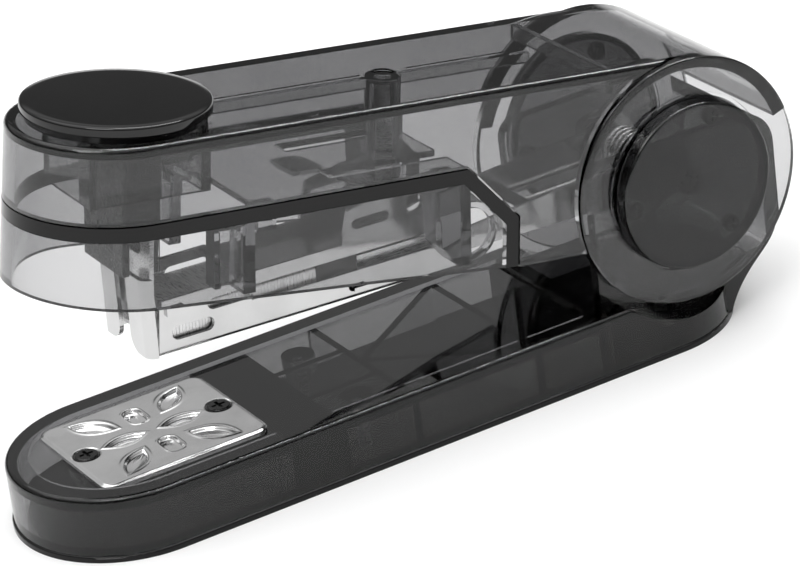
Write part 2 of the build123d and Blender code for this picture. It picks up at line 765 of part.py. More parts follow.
# ---------------------------------------------------------------- driver
blade_front = strike_x - 0.35
holder_half = boss_half_width - boss_wall
holder_front = holder_rear - holder_length
with BuildPart() as driver_holder:
    add(block(head, (holder_front, -holder_half, holder_floor), (holder_rear, holder_half, plate_under)))
    fillet(driver_holder.edges().filter_by(head_up), 0.5)
    add(block(head, (blade_front + blade_thickness, -holder_half + 0.5, holder_tongue_floor),
              (holder_rear, holder_half - 0.5, holder_floor + 0.1)))
    add(block(head, (holder_front, -holder_half + 0.5, holder_tongue_floor),
              (holder_front + holder_skirt, holder_half - 0.5, holder_floor + 0.1)))
    add(block(head, (blade_front, -blade_half_width - 0.02, holder_floor - 1),
              (blade_front + blade_thickness, blade_half_width + 0.02, boss_floor - 1.5)),
        mode=Mode.SUBTRACT)
save(driver_holder.part, "driver_holder")

with BuildPart() as driver_blade:
    add(block(head, (blade_front, -blade_half_width, blade_tip),
              (blade_front + blade_thickness, blade_half_width, boss_floor - 1.52)))
    with BuildSketch(cross_plane(head, blade_front - 1)):
        with Locations((0, 0.5)):
            SlotOverall(7.5, 2.2)
    extrude(amount=3, mode=Mode.SUBTRACT)
save(driver_blade.part, "driver_blade")

# leaf spring from under the deck, down and back over the magazine
with BuildPart() as drive_spring:
    with BuildSketch(side_plane(head)):
        with BuildLine():
            tail = Line((leaf_root, deck_low - 0.35), (leaf_root + 3.5, deck_low - 0.35))
            Bezier(tail @ 1, (leaf_root + 6.5, deck_low - 0.6), (leaf_tip - 5.5, 3.4), (leaf_tip, 1.2))
        trace(line_width=0.6)
    extrude(amount=leaf_half_width, both=True)
    with BuildSketch(head.offset(-5)):
        with BuildLine():
            Polyline((leaf_root - 1, -leaf_half_width), (leaf_root + 6, -leaf_half_width),
                     (leaf_tip + 0.3, -0.6), (leaf_tip + 0.3, 0.6), (leaf_root + 6, leaf_half_width),
                     (leaf_root - 1, leaf_half_width), close=True)
        make_face()
    extrude(amount=20, mode=Mode.INTERSECT)
save(drive_spring.part, "drive_spring")


# ---------------------------------------------------------------- magazine channel
def wall_slot(x, z, length, width):
    """A round-ended slot through both side walls of the magazine."""
    with BuildPart() as slot:
        with BuildSketch(side_plane(magazine)):
            with Locations((x, z)):
                SlotOverall(length, width)
        extrude(amount=channel_half_width + 2, both=True)
    return slot.part


channel_inner = channel_half_width - sheet
step_x = strike_x + channel_step
with BuildPart() as magazine_channel:
    with BuildSketch(side_plane(magazine)) as channel_outline:
        with BuildLine():
            Polyline((channel_front, channel_floor), (channel_front + 0.9, channel_front_wall_top),
                     (step_x, channel_front_wall_top), (step_x, channel_rear_wall_top),
                     (-42.0, channel_rear_wall_top), (-39.4, channel_rear_wall_top - 2.2),
                     (channel_rear, channel_floor), close=True)
        make_face()
    extrude(amount=channel_half_width, both=True)
    bottom_edges = magazine_channel.faces().sort_by(magazine_up)[0].edges().sort_by(Axis.Y)
    fillet([bottom_edges[0], bottom_edges[-1]], 0.9)
    add(block(magazine, (channel_front - 2, -channel_inner, channel_floor + sheet),
              (channel_rear + 2, channel_inner, 10)), mode=Mode.SUBTRACT)
    # mouth that the staple leaves through
    add(block(magazine, (channel_front - 2, -channel_inner, channel_floor - 1),
              (strip_front + 1.2, channel_inner, channel_floor + 2)), mode=Mode.SUBTRACT)
    # arms to the hinge
    for side in (-1, 1):
        arm_y = sorted([side * channel_inner, side * channel_half_width])
        with BuildSketch(side_plane(magazine, arm_y[1])):
            with BuildLine():
                Polyline((-46.0, channel_rear_wall_top), (-46.0, channel_rear_wall_top - 2.6),
                         (-36.0, channel_rear_wall_top - 2.0), (-eye_radius * 0.5, -eye_radius * 0.86),
                         (eye_radius * 0.2, 0), (-eye_radius * 0.5, eye_radius * 0.6),
                         (-12.0, arm_height / 2), (-34.0, channel_rear_wall_top + 1.6),
                         (-40.0, channel_rear_wall_top), close=True)
            make_face()
            Circle(eye_radius)
            Circle(hinge_bore, mode=Mode.SUBTRACT)
        extrude(amount=sheet)
    add(wall_slot(strike_x + 5.6, -3.5, 7.0, 2.2), mode=Mode.SUBTRACT)
    add(wall_slot(strike_x + 11.9, -0.4, 7.4, 2.2), mode=Mode.SUBTRACT)
    add(wall_slot(strike_x + 33.0, -4.6, 2.6, 1.5), mode=Mode.SUBTRACT)
    for side in (-1, 1):
        tie_y = sorted([side * (channel_half_width - 0.1), side * (channel_half_width + 0.6)])
        add(block(magazine, (strike_x + 1.4, tie_y[0], -0.4), (strike_x + 4.0, tie_y[1], 1.1)))
        add(block(magazine, (strike_x + 32.4, tie_y[0], -5.3), (strike_x + 34.6, tie_y[1], -4.7)))
    # cross tie between the arms
    add(block(magazine, (tie_front, -channel_inner - 0.1, tie_floor),
              (tie_front + tie_length, channel_inner + 0.1, tie_floor + sheet)))
save(magazine_channel.part, "magazine_channel")

# front plates: two tall lobes with the driving slot between them
lobe_width = channel_half_width - front_slot_half
nose_corner = 1.5


def front_turn(half, front, rear, corner):
    """One run of the nose plate's section: along a side, round both corners and back."""
    near = Line((rear, -half), (front + corner, -half))
    near_turn = RadiusArc(near @ 1, (front, -half + corner), corner)
    across = Line(near_turn @ 1, (front, half - corner))
    far_turn = RadiusArc(across @ 1, (front + corner, half), corner)
    far = Line(far_turn @ 1, (rear, half))
    return near + near_turn + across + far_turn + far


with BuildPart() as magazine_nose:
    with BuildSketch(magazine.offset(channel_floor)):
        with BuildLine():
            add(front_turn(channel_half_width, plate_outer_x, channel_front, nose_corner))
            Line((channel_front, channel_half_width), (channel_front, -channel_half_width))
        make_face()
        with BuildLine():
            add(front_turn(channel_inner, plate_inner_x, channel_front, nose_corner - sheet))
            Line((channel_front, channel_inner), (channel_front, -channel_inner))
        make_face(mode=Mode.SUBTRACT)
    extrude(amount=front_plate_top - channel_floor)
    # the slot, with rounded lobe corners
    with BuildSketch(cross_plane(magazine, plate_outer_x - 2)) as lobes:
        lobe_middle = front_slot_half + lobe_width / 2 + 1
        for side in (-1, 1):
            with Locations((side * lobe_middle, (front_plate_top + channel_floor) / 2)):
                Rectangle(lobe_width + 2, front_plate_top - channel_floor)
        inner_ends = lobes.vertices().filter_by(lambda v: abs(v.X) < lobe_middle).group_by(Axis.Y)
        fillet(inner_ends[0], 2.6)
        fillet(inner_ends[-1], 1.4)
    extrude(amount=6, mode=Mode.INTERSECT)
save(magazine_nose.part, "magazine_nose")


# ---------------------------------------------------------------- inner channel with its ears
with BuildPart() as staple_cover:
    cover_half = channel_inner - 0.05
    cover_front = step_x + 0.5
    cover_rear = -40.4
    with BuildSketch(cross_plane(magazine, cover_front)):
        with Locations((0, (cover_floor_level + cover_wall_top) / 2)):
            Rectangle(2 * cover_half, cover_wall_top - cover_floor_level)
        trough_depth = cover_wall_top + 1 - cover_floor_level - 0.6
        with Locations((0, cover_wall_top + 1 - trough_depth / 2)):
            Rectangle(2 * (cover_half - sheet), trough_depth, mode=Mode.SUBTRACT)
    extrude(amount=cover_rear - cover_front)
    for side in (-1, 1):
        ear_y = sorted([side * (cover_half - sheet), side * cover_half])
        with BuildSketch(side_plane(magazine, ear_y[1])):
            with BuildLine():
                Polyline((-56.5, cover_wall_top - 0.2), (-55.0, ear_z + 1.6),
                         (ear_x - 5, ear_z + ear_radius - 0.5),
                         (ear_x, ear_z + ear_radius), (ear_x, cover_wall_top - 0.2), close=True)
            make_face()
            with Locations((ear_x, ear_z)):
                Circle(ear_radius)
            with Locations((-51.3, 5.1)):
                SlotOverall(6.4, 1.7, mode=Mode.SUBTRACT)
            with Locations((ear_x, ear_z)):
                Circle(ear_hole_radius, mode=Mode.SUBTRACT)
        extrude(amount=sheet)
save(staple_cover.part, "staple_cover")

# ---------------------------------------------------------------- rail, rod, staples and pusher
rail_top = cover_floor_level - 0.25 - staple_wire - 0.05
rail_rear = channel_rear - 4.0
with BuildPart() as staple_rail:
    with BuildSketch(cross_plane(magazine, strip_front)):
        with Locations((0, (rail_floor + rail_top) / 2)):
            Rectangle(2 * rail_half_width, rail_top - rail_floor)
        with Locations((0, (rail_floor + rail_top - rail_sheet) / 2 - 0.5)):
            Rectangle(2 * (rail_half_width - rail_sheet), rail_top - rail_sheet - rail_floor + 1,
                      mode=Mode.SUBTRACT)
    extrude(amount=rail_rear - strip_front)
    add(block(magazine, (strip_front, -rail_half_width, rail_floor),
              (strip_front + 0.8, rail_half_width, rail_top)))
    add(block(magazine, (rail_rear - 0.8, -channel_inner + 0.02, channel_floor + sheet + 0.02),
              (rail_rear, channel_inner - 0.02, rail_top)))
    with BuildSketch(cross_plane(magazine, strip_front - 1)):
        with Locations((0, rod_level)):
            Circle(rod_radius + 0.02)
    extrude(amount=rail_rear - strip_front + 3, mode=Mode.SUBTRACT)
save(staple_rail.part, "staple_rail")

with BuildPart() as guide_rod:
    with BuildSketch(cross_plane(magazine, strip_front + 0.1)):
        with Locations((0, rod_level)):
            Circle(rod_radius)
    extrude(amount=rail_rear - strip_front - 0.2)
save(guide_rod.part, "guide_rod")

crown_top = rail_top + 0.05 + staple_wire
with BuildPart() as staple_strip:
    with BuildSketch(cross_plane(magazine, strip_front)):
        with Locations((0, crown_top - staple_height / 2)):
            Rectangle(2 * staple_half_width, staple_height)
        with Locations((0, crown_top - staple_height / 2 - staple_wire)):
            Rectangle(2 * (staple_half_width - staple_wire), staple_height, mode=Mode.SUBTRACT)
    extrude(amount=staple_count * staple_pitch)
    crown_edges = staple_strip.faces().sort_by(magazine_up)[-1].edges().sort_by(Axis.Y)
    fillet([crown_edges[0], crown_edges[-1]], 0.4)
    for n in range(1, staple_count):
        groove = cross_plane(magazine, strip_front + n * staple_pitch - 0.04)
        with BuildSketch(groove):
            with Locations((0, crown_top - staple_height / 2)):
                Rectangle(2 * staple_half_width + 1, staple_height + 1)
                Rectangle(2 * staple_half_width - 0.16, staple_height - 0.16, mode=Mode.SUBTRACT)
        extrude(amount=0.08, mode=Mode.SUBTRACT)
save(staple_strip.part, "staple_strip")

slide_gap = 0.1  # between the pusher and the rail it rides on
pusher_half = staple_half_width - 0.1
with BuildPart() as pusher:
    with BuildSketch(cross_plane(magazine, pusher_front)):
        with Locations((0, crown_top - 2.6)):
            Rectangle(2 * pusher_half, 5.2)
        with Locations((0, rail_top + slide_gap - 5)):
            Rectangle(2 * (rail_half_width + slide_gap), 10, mode=Mode.SUBTRACT)
    extrude(amount=pusher_length)
    # block that runs inside the rail, tied to the sides by a web under it
    web_top = rail_floor - slide_gap
    web_low = channel_floor + sheet + slide_gap
    with BuildSketch(cross_plane(magazine, pusher_front + 1)):
        with Locations((0, (web_low + rail_top - rail_sheet - slide_gap) / 2)):
            Rectangle(5.0, rail_top - rail_sheet - slide_gap - web_low)
        with Locations((0, (web_low + web_top) / 2)):
            Rectangle(2 * pusher_half, web_top - web_low)
        leg_middle = (pusher_half + rail_half_width + slide_gap) / 2
        for side in (-1, 1):
            with Locations((side * leg_middle, (web_low + crown_top - 2) / 2)):
                Rectangle(pusher_half - rail_half_width - slide_gap, crown_top - 2 - web_low)
        with Locations((0, rod_level)):
            Circle(rod_radius + slide_gap, mode=Mode.SUBTRACT)
    extrude(amount=2.0)
save(pusher.part, "pusher")

spring_start = pusher_front + 3.2
spring_length = rail_rear - 1.0 - spring_start
with BuildPart() as pusher_spring:
    spring_plane = Plane(origin=magazine.from_local_coords(Vector(spring_start, 0, rod_level)),
                         x_dir=(0, 1, 0), z_dir=magazine.x_dir)
    add(coil(spring_plane, spring_radius, spring_wire, spring_length, spring_turns))
save(pusher_spring.part, "pusher_spring")
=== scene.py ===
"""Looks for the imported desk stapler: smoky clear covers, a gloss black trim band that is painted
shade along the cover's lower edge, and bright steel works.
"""

import json
import math

import bmesh
import bpy
from mathutils import Matrix, Vector


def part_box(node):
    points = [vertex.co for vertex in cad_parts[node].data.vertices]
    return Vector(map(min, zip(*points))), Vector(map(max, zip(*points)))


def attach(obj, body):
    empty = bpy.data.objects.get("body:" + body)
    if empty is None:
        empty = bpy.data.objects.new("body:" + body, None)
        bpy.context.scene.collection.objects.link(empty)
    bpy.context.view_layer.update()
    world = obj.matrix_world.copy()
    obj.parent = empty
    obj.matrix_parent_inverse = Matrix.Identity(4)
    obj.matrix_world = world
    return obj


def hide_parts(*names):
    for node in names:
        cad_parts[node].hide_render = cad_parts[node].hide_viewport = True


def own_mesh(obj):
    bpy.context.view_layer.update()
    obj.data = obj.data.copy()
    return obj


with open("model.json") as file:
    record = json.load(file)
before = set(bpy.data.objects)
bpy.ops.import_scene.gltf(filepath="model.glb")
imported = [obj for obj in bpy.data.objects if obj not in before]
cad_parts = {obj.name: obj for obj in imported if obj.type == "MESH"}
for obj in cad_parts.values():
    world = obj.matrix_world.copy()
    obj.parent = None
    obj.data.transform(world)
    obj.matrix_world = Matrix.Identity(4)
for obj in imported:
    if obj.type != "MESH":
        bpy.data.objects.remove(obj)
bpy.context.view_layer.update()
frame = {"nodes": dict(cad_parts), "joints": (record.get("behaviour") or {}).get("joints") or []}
nodes = frame["nodes"]

MM = 0.001  # the scene is in metres
HINGE = Vector(frame["joints"][0]["pos_m"])  # middle of the hinge pin

# ------------------------------------------------------------------ node helpers


def new_material(name):
    """An empty node material with its output, and its node tree."""
    material = bpy.data.materials.new(name)
    material.use_nodes = True
    tree = material.node_tree
    tree.nodes.clear()
    output = tree.nodes.new("ShaderNodeOutputMaterial")
    return material, tree, output


def noise(tree, scale, detail=3.0, stretch=(1, 1, 1), roughness=0.55):
    """Noise over the object's own coordinates, scale in features per metre."""
    coords = tree.nodes.new("ShaderNodeTexCoord")
    mapping = tree.nodes.new("ShaderNodeMapping")
    mapping.inputs["Scale"].default_value = stretch
    texture = tree.nodes.new("ShaderNodeTexNoise")
    texture.inputs["Scale"].default_value = scale
    texture.inputs["Detail"].default_value = detail
    texture.inputs["Roughness"].default_value = roughness
    tree.links.new(coords.outputs["Object"], mapping.inputs["Vector"])
    tree.links.new(mapping.outputs["Vector"], texture.inputs["Vector"])
    return texture.outputs["Fac"]


def spread(tree, value, low, high, start=0.35, end=0.65):
    """Maps a noise value to a range."""
    node = tree.nodes.new("ShaderNodeMapRange")
    node.inputs["From Min"].default_value = start
    node.inputs["From Max"].default_value = end
    node.inputs["To Min"].default_value = low
    node.inputs["To Max"].default_value = high
    tree.links.new(value, node.inputs["Value"])
    return node.outputs["Result"]


def colours(tree, value, stops):
    """A colour ramp over a value; stops are (place, grey or colour)."""
    ramp = tree.nodes.new("ShaderNodeValToRGB")
    ends = ramp.color_ramp.elements
    while len(ends) < len(stops):
        ends.new(0.5)
    for element, (place, colour) in zip(ends, stops):
        element.position = place
        rgb = (colour,) * 3 if isinstance(colour, (int, float)) else colour
        element.color = (*rgb, 1)
    tree.links.new(value, ramp.inputs["Fac"])
    return ramp.outputs["Color"]


def bump(tree, height, strength, distance):
    """A bump from a height, distance in metres."""
    node = tree.nodes.new("ShaderNodeBump")
    node.inputs["Strength"].default_value = strength
    node.inputs["Distance"].default_value = distance
    tree.links.new(height, node.inputs["Height"])
    return node.outputs["Normal"]


def principled(tree, output):
    """A Principled shader on the output."""
    shader = tree.nodes.new("ShaderNodeBsdfPrincipled")
    tree.links.new(shader.outputs["BSDF"], output.inputs["Surface"])
    return shader


# ------------------------------------------------------------------ materials


def smoky_plastic(name, tint, density, roughness=0.02, ripple=0.05, ior=1.5):
    """Polished clear polystyrene that absorbs evenly: density is per metre of plastic."""
    material, tree, output = new_material(name)
    shader = principled(tree, output)
    shader.inputs["Base Color"].default_value = (1, 1, 1, 1)
    shader.inputs["Transmission Weight"].default_value = 1.0
    shader.inputs["IOR"].default_value = ior
    wear = noise(tree, scale=90, detail=5)
    rough = spread(tree, wear, low=roughness * 0.5, high=roughness * 2.0)
    tree.links.new(rough, shader.inputs["Roughness"])
    flow = noise(tree, scale=26, detail=2, stretch=(1, 1, 0.6))
    tree.links.new(bump(tree, flow, strength=ripple, distance=0.6 * MM), shader.inputs["Normal"])
    absorb = tree.nodes.new("ShaderNodeVolumeAbsorption")
    absorb.inputs["Color"].default_value = (*tint, 1)
    absorb.inputs["Density"].default_value = density
    tree.links.new(absorb.outputs["Volume"], output.inputs["Volume"])
    return material


def solid_plastic(name, shade, roughness, grain=0.0, specular=0.5):
    """Moulded plastic with faint flow marks and an uneven sheen; grain is a bump's depth in metres."""
    material, tree, output = new_material(name)
    shader = principled(tree, output)
    blotch = noise(tree, scale=60, detail=4)
    shades = colours(tree, blotch, [(0.3, shade * 0.8), (0.7, shade * 1.25)])
    tree.links.new(shades, shader.inputs["Base Color"])
    fine = noise(tree, scale=900, detail=5, roughness=0.7)
    sheen = spread(tree, fine, low=roughness * 0.7, high=roughness * 1.4)
    tree.links.new(sheen, shader.inputs["Roughness"])
    shader.inputs["Specular IOR Level"].default_value = specular
    if grain:
        tree.links.new(bump(tree, fine, strength=0.35, distance=grain), shader.inputs["Normal"])
    return material


def bright_metal(name, shade, roughness, along=(1, 14, 14)):
    """Plated or ground steel with faint cloudiness and fine lines; along stretches the lines' noise."""
    material, tree, output = new_material(name)
    shader = principled(tree, output)
    shader.inputs["Metallic"].default_value = 1.0
    cloud = noise(tree, scale=110, detail=4)
    shades = colours(tree, cloud, [(0.25, shade * 0.86), (0.55, shade), (0.8, shade * 1.08)])
    tree.links.new(shades, shader.inputs["Base Color"])
    lines = noise(tree, scale=420, detail=6, stretch=along, roughness=0.75)
    sheen = spread(tree, lines, low=roughness * 0.6, high=roughness * 1.6)
    tree.links.new(sheen, shader.inputs["Roughness"])
    tree.links.new(bump(tree, lines, strength=0.3, distance=0.02 * MM), shader.inputs["Normal"])
    shader.inputs["Anisotropic"].default_value = 0.3
    return material


SMOKE_COVER = smoky_plastic("smoke_cover", (0.33, 0.33, 0.34), 540)
SMOKE_DISC = smoky_plastic("smoke_disc", (0.33, 0.33, 0.34), 440)
SMOKE_BASE = smoky_plastic("smoke_base", (0.2, 0.2, 0.21), 520, ior=1.45)
SMOKE_CLEAR = smoky_plastic("smoke_clear", (0.42, 0.42, 0.43), 600)
CAP_PLASTIC = smoky_plastic("cap_plastic", (0.2, 0.2, 0.21), 2100, ior=1.45)
GLOSS_BLACK = solid_plastic("gloss_black", 0.004, 0.05, specular=0.25)
PAD_BLACK = solid_plastic("pad_black", 0.004, 0.08, specular=0.4)
SATIN_BLACK = solid_plastic("satin_black", 0.014, 0.3, grain=0.03 * MM, specular=0.3)
BRIGHT_STEEL = bright_metal("bright_steel", 0.76, 0.13)
# A darker copy of the bright steel for the magazine: painted shade, so its sides mirror less of the
# bright floor.
SHADED_MAGAZINE_STEEL = bright_metal("shaded_magazine_steel", 0.52, 0.12)
GROUND_STEEL = bright_metal("ground_steel", 0.6, 0.26)
BLACK_STEEL = bright_metal("black_steel", 0.05, 0.22, along=(6, 6, 6))
SPRING_STEEL = bright_metal("spring_steel", 0.4, 0.28, along=(6, 6, 6))
ZINC = bright_metal("zinc_staples", 0.62, 0.3, along=(14, 1, 1))

looks = {
    "base_tray": SMOKE_BASE,
    "hinge_tower": SMOKE_BASE,
    "foot_plate": GLOSS_BLACK,
    "foot_screws": GROUND_STEEL,
    "anvil_plate": BRIGHT_STEEL,
    "anvil_screws": BLACK_STEEL,
    "hinge_pin": BLACK_STEEL,
    "lift_spring": SPRING_STEEL,
    "top_cover": SMOKE_COVER,
    "lower_housing": SMOKE_CLEAR,
    # The trim band is painted gloss black: painted shade standing in for the dark band where light runs
    # down the clear wall's ledge.
    "trim_band": GLOSS_BLACK,
    "right_hinge_disc": SMOKE_DISC,
    "left_hinge_disc": SMOKE_DISC,
    "right_hinge_cap": CAP_PLASTIC,
    "left_hinge_cap": CAP_PLASTIC,
    "cap_screws": SATIN_BLACK,
    "thumb_pad": PAD_BLACK,
    "pad_screw": GROUND_STEEL,
    "cover_screw": GROUND_STEEL,
    "driver_holder": SATIN_BLACK,
    "driver_blade": GROUND_STEEL,
    "drive_spring": SPRING_STEEL,
    "magazine_channel": SHADED_MAGAZINE_STEEL,
    "magazine_nose": SHADED_MAGAZINE_STEEL,
    "staple_cover": SHADED_MAGAZINE_STEEL,
    "staple_rail": GROUND_STEEL,
    "guide_rod": GROUND_STEEL,
    "staple_strip": ZINC,
    "pusher": SATIN_BLACK,
    "pusher_spring": SPRING_STEEL,
}
for name, material in looks.items():
    mesh = nodes[name].data
    if not mesh.materials:
        mesh.materials.append(material)
    for place in range(len(mesh.materials)):
        mesh.materials[place] = material

# ------------------------------------------------------------------ pieces in finer mesh


def finished(mesh, name, material, node, body):
    """A smooth-shaded object in place of a CAD node, riding on its body."""
    for face in mesh.polygons:
        face.use_smooth = True
    mesh.materials.append(material)
    piece = bpy.data.objects.new(name, mesh)
    bpy.context.scene.collection.objects.link(piece)
    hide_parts(node)
    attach(piece, body)
    return piece


def turned(name, profile, center, axis, side, segments=160):
    """A mesh turned round an axis from (radius, height) points; the first and last radii are 0."""
    turn = bmesh.new()
    third = axis.cross(side)
    rings = []
    for radius, height in profile:
        middle = center + axis * height
        if radius == 0:
            rings.append([turn.verts.new(middle)])
            continue
        ring = []
        for step in range(segments):
            angle = 2 * math.pi * step / segments
            outward = side * math.cos(angle) + third * math.sin(angle)
            ring.append(turn.verts.new(middle + outward * radius))
        rings.append(ring)
    for lower, upper in zip(rings, rings[1:]):
        for step in range(segments):
            after = (step + 1) % segments
            corners = [lower[step % len(lower)], lower[after % len(lower)]]
            corners += [upper[after % len(upper)], upper[step % len(upper)]]
            turn.faces.new(list(dict.fromkeys(corners)))
    bmesh.ops.recalc_face_normals(turn, faces=turn.faces)
    mesh = bpy.data.meshes.new(name)
    turn.to_mesh(mesh)
    turn.free()
    return mesh


def rounded(corner, radius, start, end, steps=5):
    """Points of a rounded corner in a turned profile, from one angle to another."""
    points = []
    for step in range(steps + 1):
        angle = math.radians(start + (end - start) * step / steps)
        points.append((corner[0] + radius * math.cos(angle), corner[1] + radius * math.sin(angle)))
    return points


def node_points(name):
    """A CAD node's mesh points."""
    return [vertex.co.copy() for vertex in nodes[name].data.vertices]


HEAD_TILT = math.radians(9.25)  # how far the head is raised at rest
HEAD_UP = Vector((math.sin(HEAD_TILT), 0, math.cos(HEAD_TILT)))
HEAD_BACK = Vector((math.cos(HEAD_TILT), 0, -math.sin(HEAD_TILT)))
PAD_FOOT_INSET = 0.7 * MM
PAD_FOOT_HEIGHT = 1.05 * MM
PAD_LOWER_ROUND = 0.2 * MM
PAD_ROLL = 0.45 * MM  # radius of the rolled rim
PAD_DOME_STEPS = 12


def add_thumb_pad():
    """The thumb pad, with a slightly domed top, a rolled rim and a foot that is set in."""
    points = node_points("thumb_pad")
    heights = [(point - HINGE).dot(HEAD_UP) for point in points]
    lengths = [(point - HINGE).dot(HEAD_BACK) for point in points]
    floor = min(heights)
    rise = max(heights) - floor
    radius = (max(lengths) - min(lengths)) / 2
    middle = HINGE + HEAD_BACK * (max(lengths) + min(lengths)) / 2 + HEAD_UP * floor
    foot = radius - PAD_FOOT_INSET
    profile = [(0, 0), (foot, 0), (foot, PAD_FOOT_HEIGHT)]
    lower_corner = (radius - PAD_LOWER_ROUND, PAD_FOOT_HEIGHT + PAD_LOWER_ROUND)
    profile += rounded(lower_corner, PAD_LOWER_ROUND, start=-90, end=0, steps=3)
    upper_corner = (radius - PAD_ROLL, rise - 1.3 * PAD_ROLL)
    profile += rounded(upper_corner, PAD_ROLL, start=0, end=70)
    rim, rim_height = profile[-1]
    for step in range(1, PAD_DOME_STEPS):
        share = 1 - step / PAD_DOME_STEPS
        profile.append((rim * share, rim_height + (rise - rim_height) * (1 - share * share)))
    profile.append((0, rise))
    mesh = turned("thumb_pad_turned", profile, middle, HEAD_UP, HEAD_BACK)
    finished(mesh, "thumb_pad_turned", PAD_BLACK, "thumb_pad", "head")


def smooth_step(value):
    """0 below 0, 1 above 1, and smooth between."""
    value = min(max(value, 0.0), 1.0)
    return value * value * (3 - 2 * value)


def lens_depth(x, y, place, angle, length, width, blunt):
    """How far inside a groove's outline a point lies, 1 in its middle and below 0 outside."""
    turn = math.radians(angle)
    along = (x - place[0]) * math.cos(turn) + (y - place[1]) * math.sin(turn)
    across = (y - place[1]) * math.cos(turn) - (x - place[0]) * math.sin(turn)
    return 1 - (2 * abs(along) / length) ** (2 * blunt) - (2 * abs(across) / width) ** blunt


# The plate's sizes are in mm. A groove is its middle, angle in degrees, length, width and bluntness:
# two blunt ones across, two pointed ones along, and four slanted ones near the corners.
GROOVES = [((0, side * 5.8), 90, 5.2, 2.9, 2.2) for side in (-1, 1)]
GROOVES += [((side * 4.7, 0), 0, 6.8, 2.6, 1) for side in (-1, 1)]
GROOVES += [((sx * 6.5, sy * 7.0), 45 * sx * sy, 7.6, 3.3, 1) for sx in (-1, 1) for sy in (-1, 1)]

GROOVE_RIM = 0.1  # height of the raised lip round a groove
GROOVE_WALL = 0.5  # depth that a groove's wall drops at once
GROOVE_BOWL = 0.26  # what its middle adds
PLATE_CORNER = 2.2
EDGE_DROP = 0.3
EDGE_WIDTH = 0.6
SEAT_PLACE = 11.15  # screw seats, from the plate's middle
SEAT_RADIUS = 1.75
SEAT_SLOPE = 0.5
SEAT_DEPTH = 0.42
DEEPEST = 0.74
PLATE_COLUMNS, PLATE_ROWS = 232, 198


def plate_height(x, y, half_x, half_y):
    """Height above the plate's face at a point, all in mm."""
    over_x = max(abs(x) - (half_x - PLATE_CORNER), 0)
    over_y = max(abs(y) - (half_y - PLATE_CORNER), 0)
    edge = PLATE_CORNER - math.hypot(over_x, over_y)
    if over_x == 0 or over_y == 0:
        edge = min(half_x - abs(x), half_y - abs(y))
    height = -EDGE_DROP * (1 - smooth_step(edge / EDGE_WIDTH))
    for groove in GROOVES:
        inside = lens_depth(x, y, *groove)
        if inside >= -0.9:
            height += GROOVE_RIM * math.exp(-(((inside + 0.22) / 0.2) ** 2))
        height -= GROOVE_WALL * smooth_step((inside + 0.02) / 0.26)
        height -= GROOVE_BOWL * smooth_step(inside / 0.95)
    for side in (-1, 1):
        away = math.hypot(x - side * SEAT_PLACE, y)
        height -= SEAT_DEPTH * (1 - smooth_step((away - SEAT_RADIUS) / SEAT_SLOPE))
    return max(height, -DEEPEST)


def add_anvil_plate():
    """The anvil plate with its pressed grooves, rolled edge and dished screw seats."""
    low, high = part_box("anvil_plate")
    middle = (low + high) / 2
    half_x, half_y = (high.x - low.x) / 2 / MM, (high.y - low.y) / 2 / MM
    straight_x, straight_y = half_x - PLATE_CORNER, half_y - PLATE_CORNER
    plate = bmesh.new()
    grid = []
    for column in range(PLATE_COLUMNS + 1):
        line = []
        for row in range(PLATE_ROWS + 1):
            x = half_x * (2 * column / PLATE_COLUMNS - 1)
            y = half_y * (2 * row / PLATE_ROWS - 1)
            over_x, over_y = abs(x) - straight_x, abs(y) - straight_y
            if over_x > 0 and over_y > 0:
                shrink = max(over_x, over_y) / math.hypot(over_x, over_y)
                x = math.copysign(straight_x + over_x * shrink, x)
                y = math.copysign(straight_y + over_y * shrink, y)
            height = plate_height(x, y, half_x, half_y)
            line.append(plate.verts.new((middle.x + x * MM, middle.y + y * MM, high.z + height * MM)))
        grid.append(line)
    for column in range(PLATE_COLUMNS):
        for row in range(PLATE_ROWS):
            plate.faces.new((grid[column][row], grid[column + 1][row],
                             grid[column + 1][row + 1], grid[column][row + 1]))
    outline = [grid[column][0] for column in range(PLATE_COLUMNS)]
    outline += [grid[PLATE_COLUMNS][row] for row in range(PLATE_ROWS)]
    outline += [grid[column][PLATE_ROWS] for column in range(PLATE_COLUMNS, 0, -1)]
    outline += [grid[0][row] for row in range(PLATE_ROWS, 0, -1)]
    bottom = [plate.verts.new((vertex.co.x, vertex.co.y, low.z)) for vertex in outline]
    for place, vertex in enumerate(outline):
        after = (place + 1) % len(outline)
        plate.faces.new((outline[after], vertex, bottom[place], bottom[after]))
    plate.faces.new(bottom)
    bmesh.ops.recalc_face_normals(plate, faces=plate.faces)
    mesh = bpy.data.meshes.new("anvil_plate_pressed")
    plate.to_mesh(mesh)
    plate.free()
    piece = finished(mesh, "anvil_plate_pressed", BRIGHT_STEEL, "anvil_plate", "base")
    sharpen = piece.modifiers.new("keep_flat_underside", "EDGE_SPLIT")
    sharpen.split_angle = math.radians(60)


MAGAZINE_TILT = math.radians(3.3)  # how far the magazine is raised at rest
MAGAZINE_UP = Vector((math.sin(MAGAZINE_TILT), 0, math.cos(MAGAZINE_TILT)))
MAGAZINE_BACK = Vector((math.cos(MAGAZINE_TILT), 0, -math.sin(MAGAZINE_TILT)))
SPRING_WIRE = 0.25 * MM  # radius of the wire
SPRING_TURNS = 12


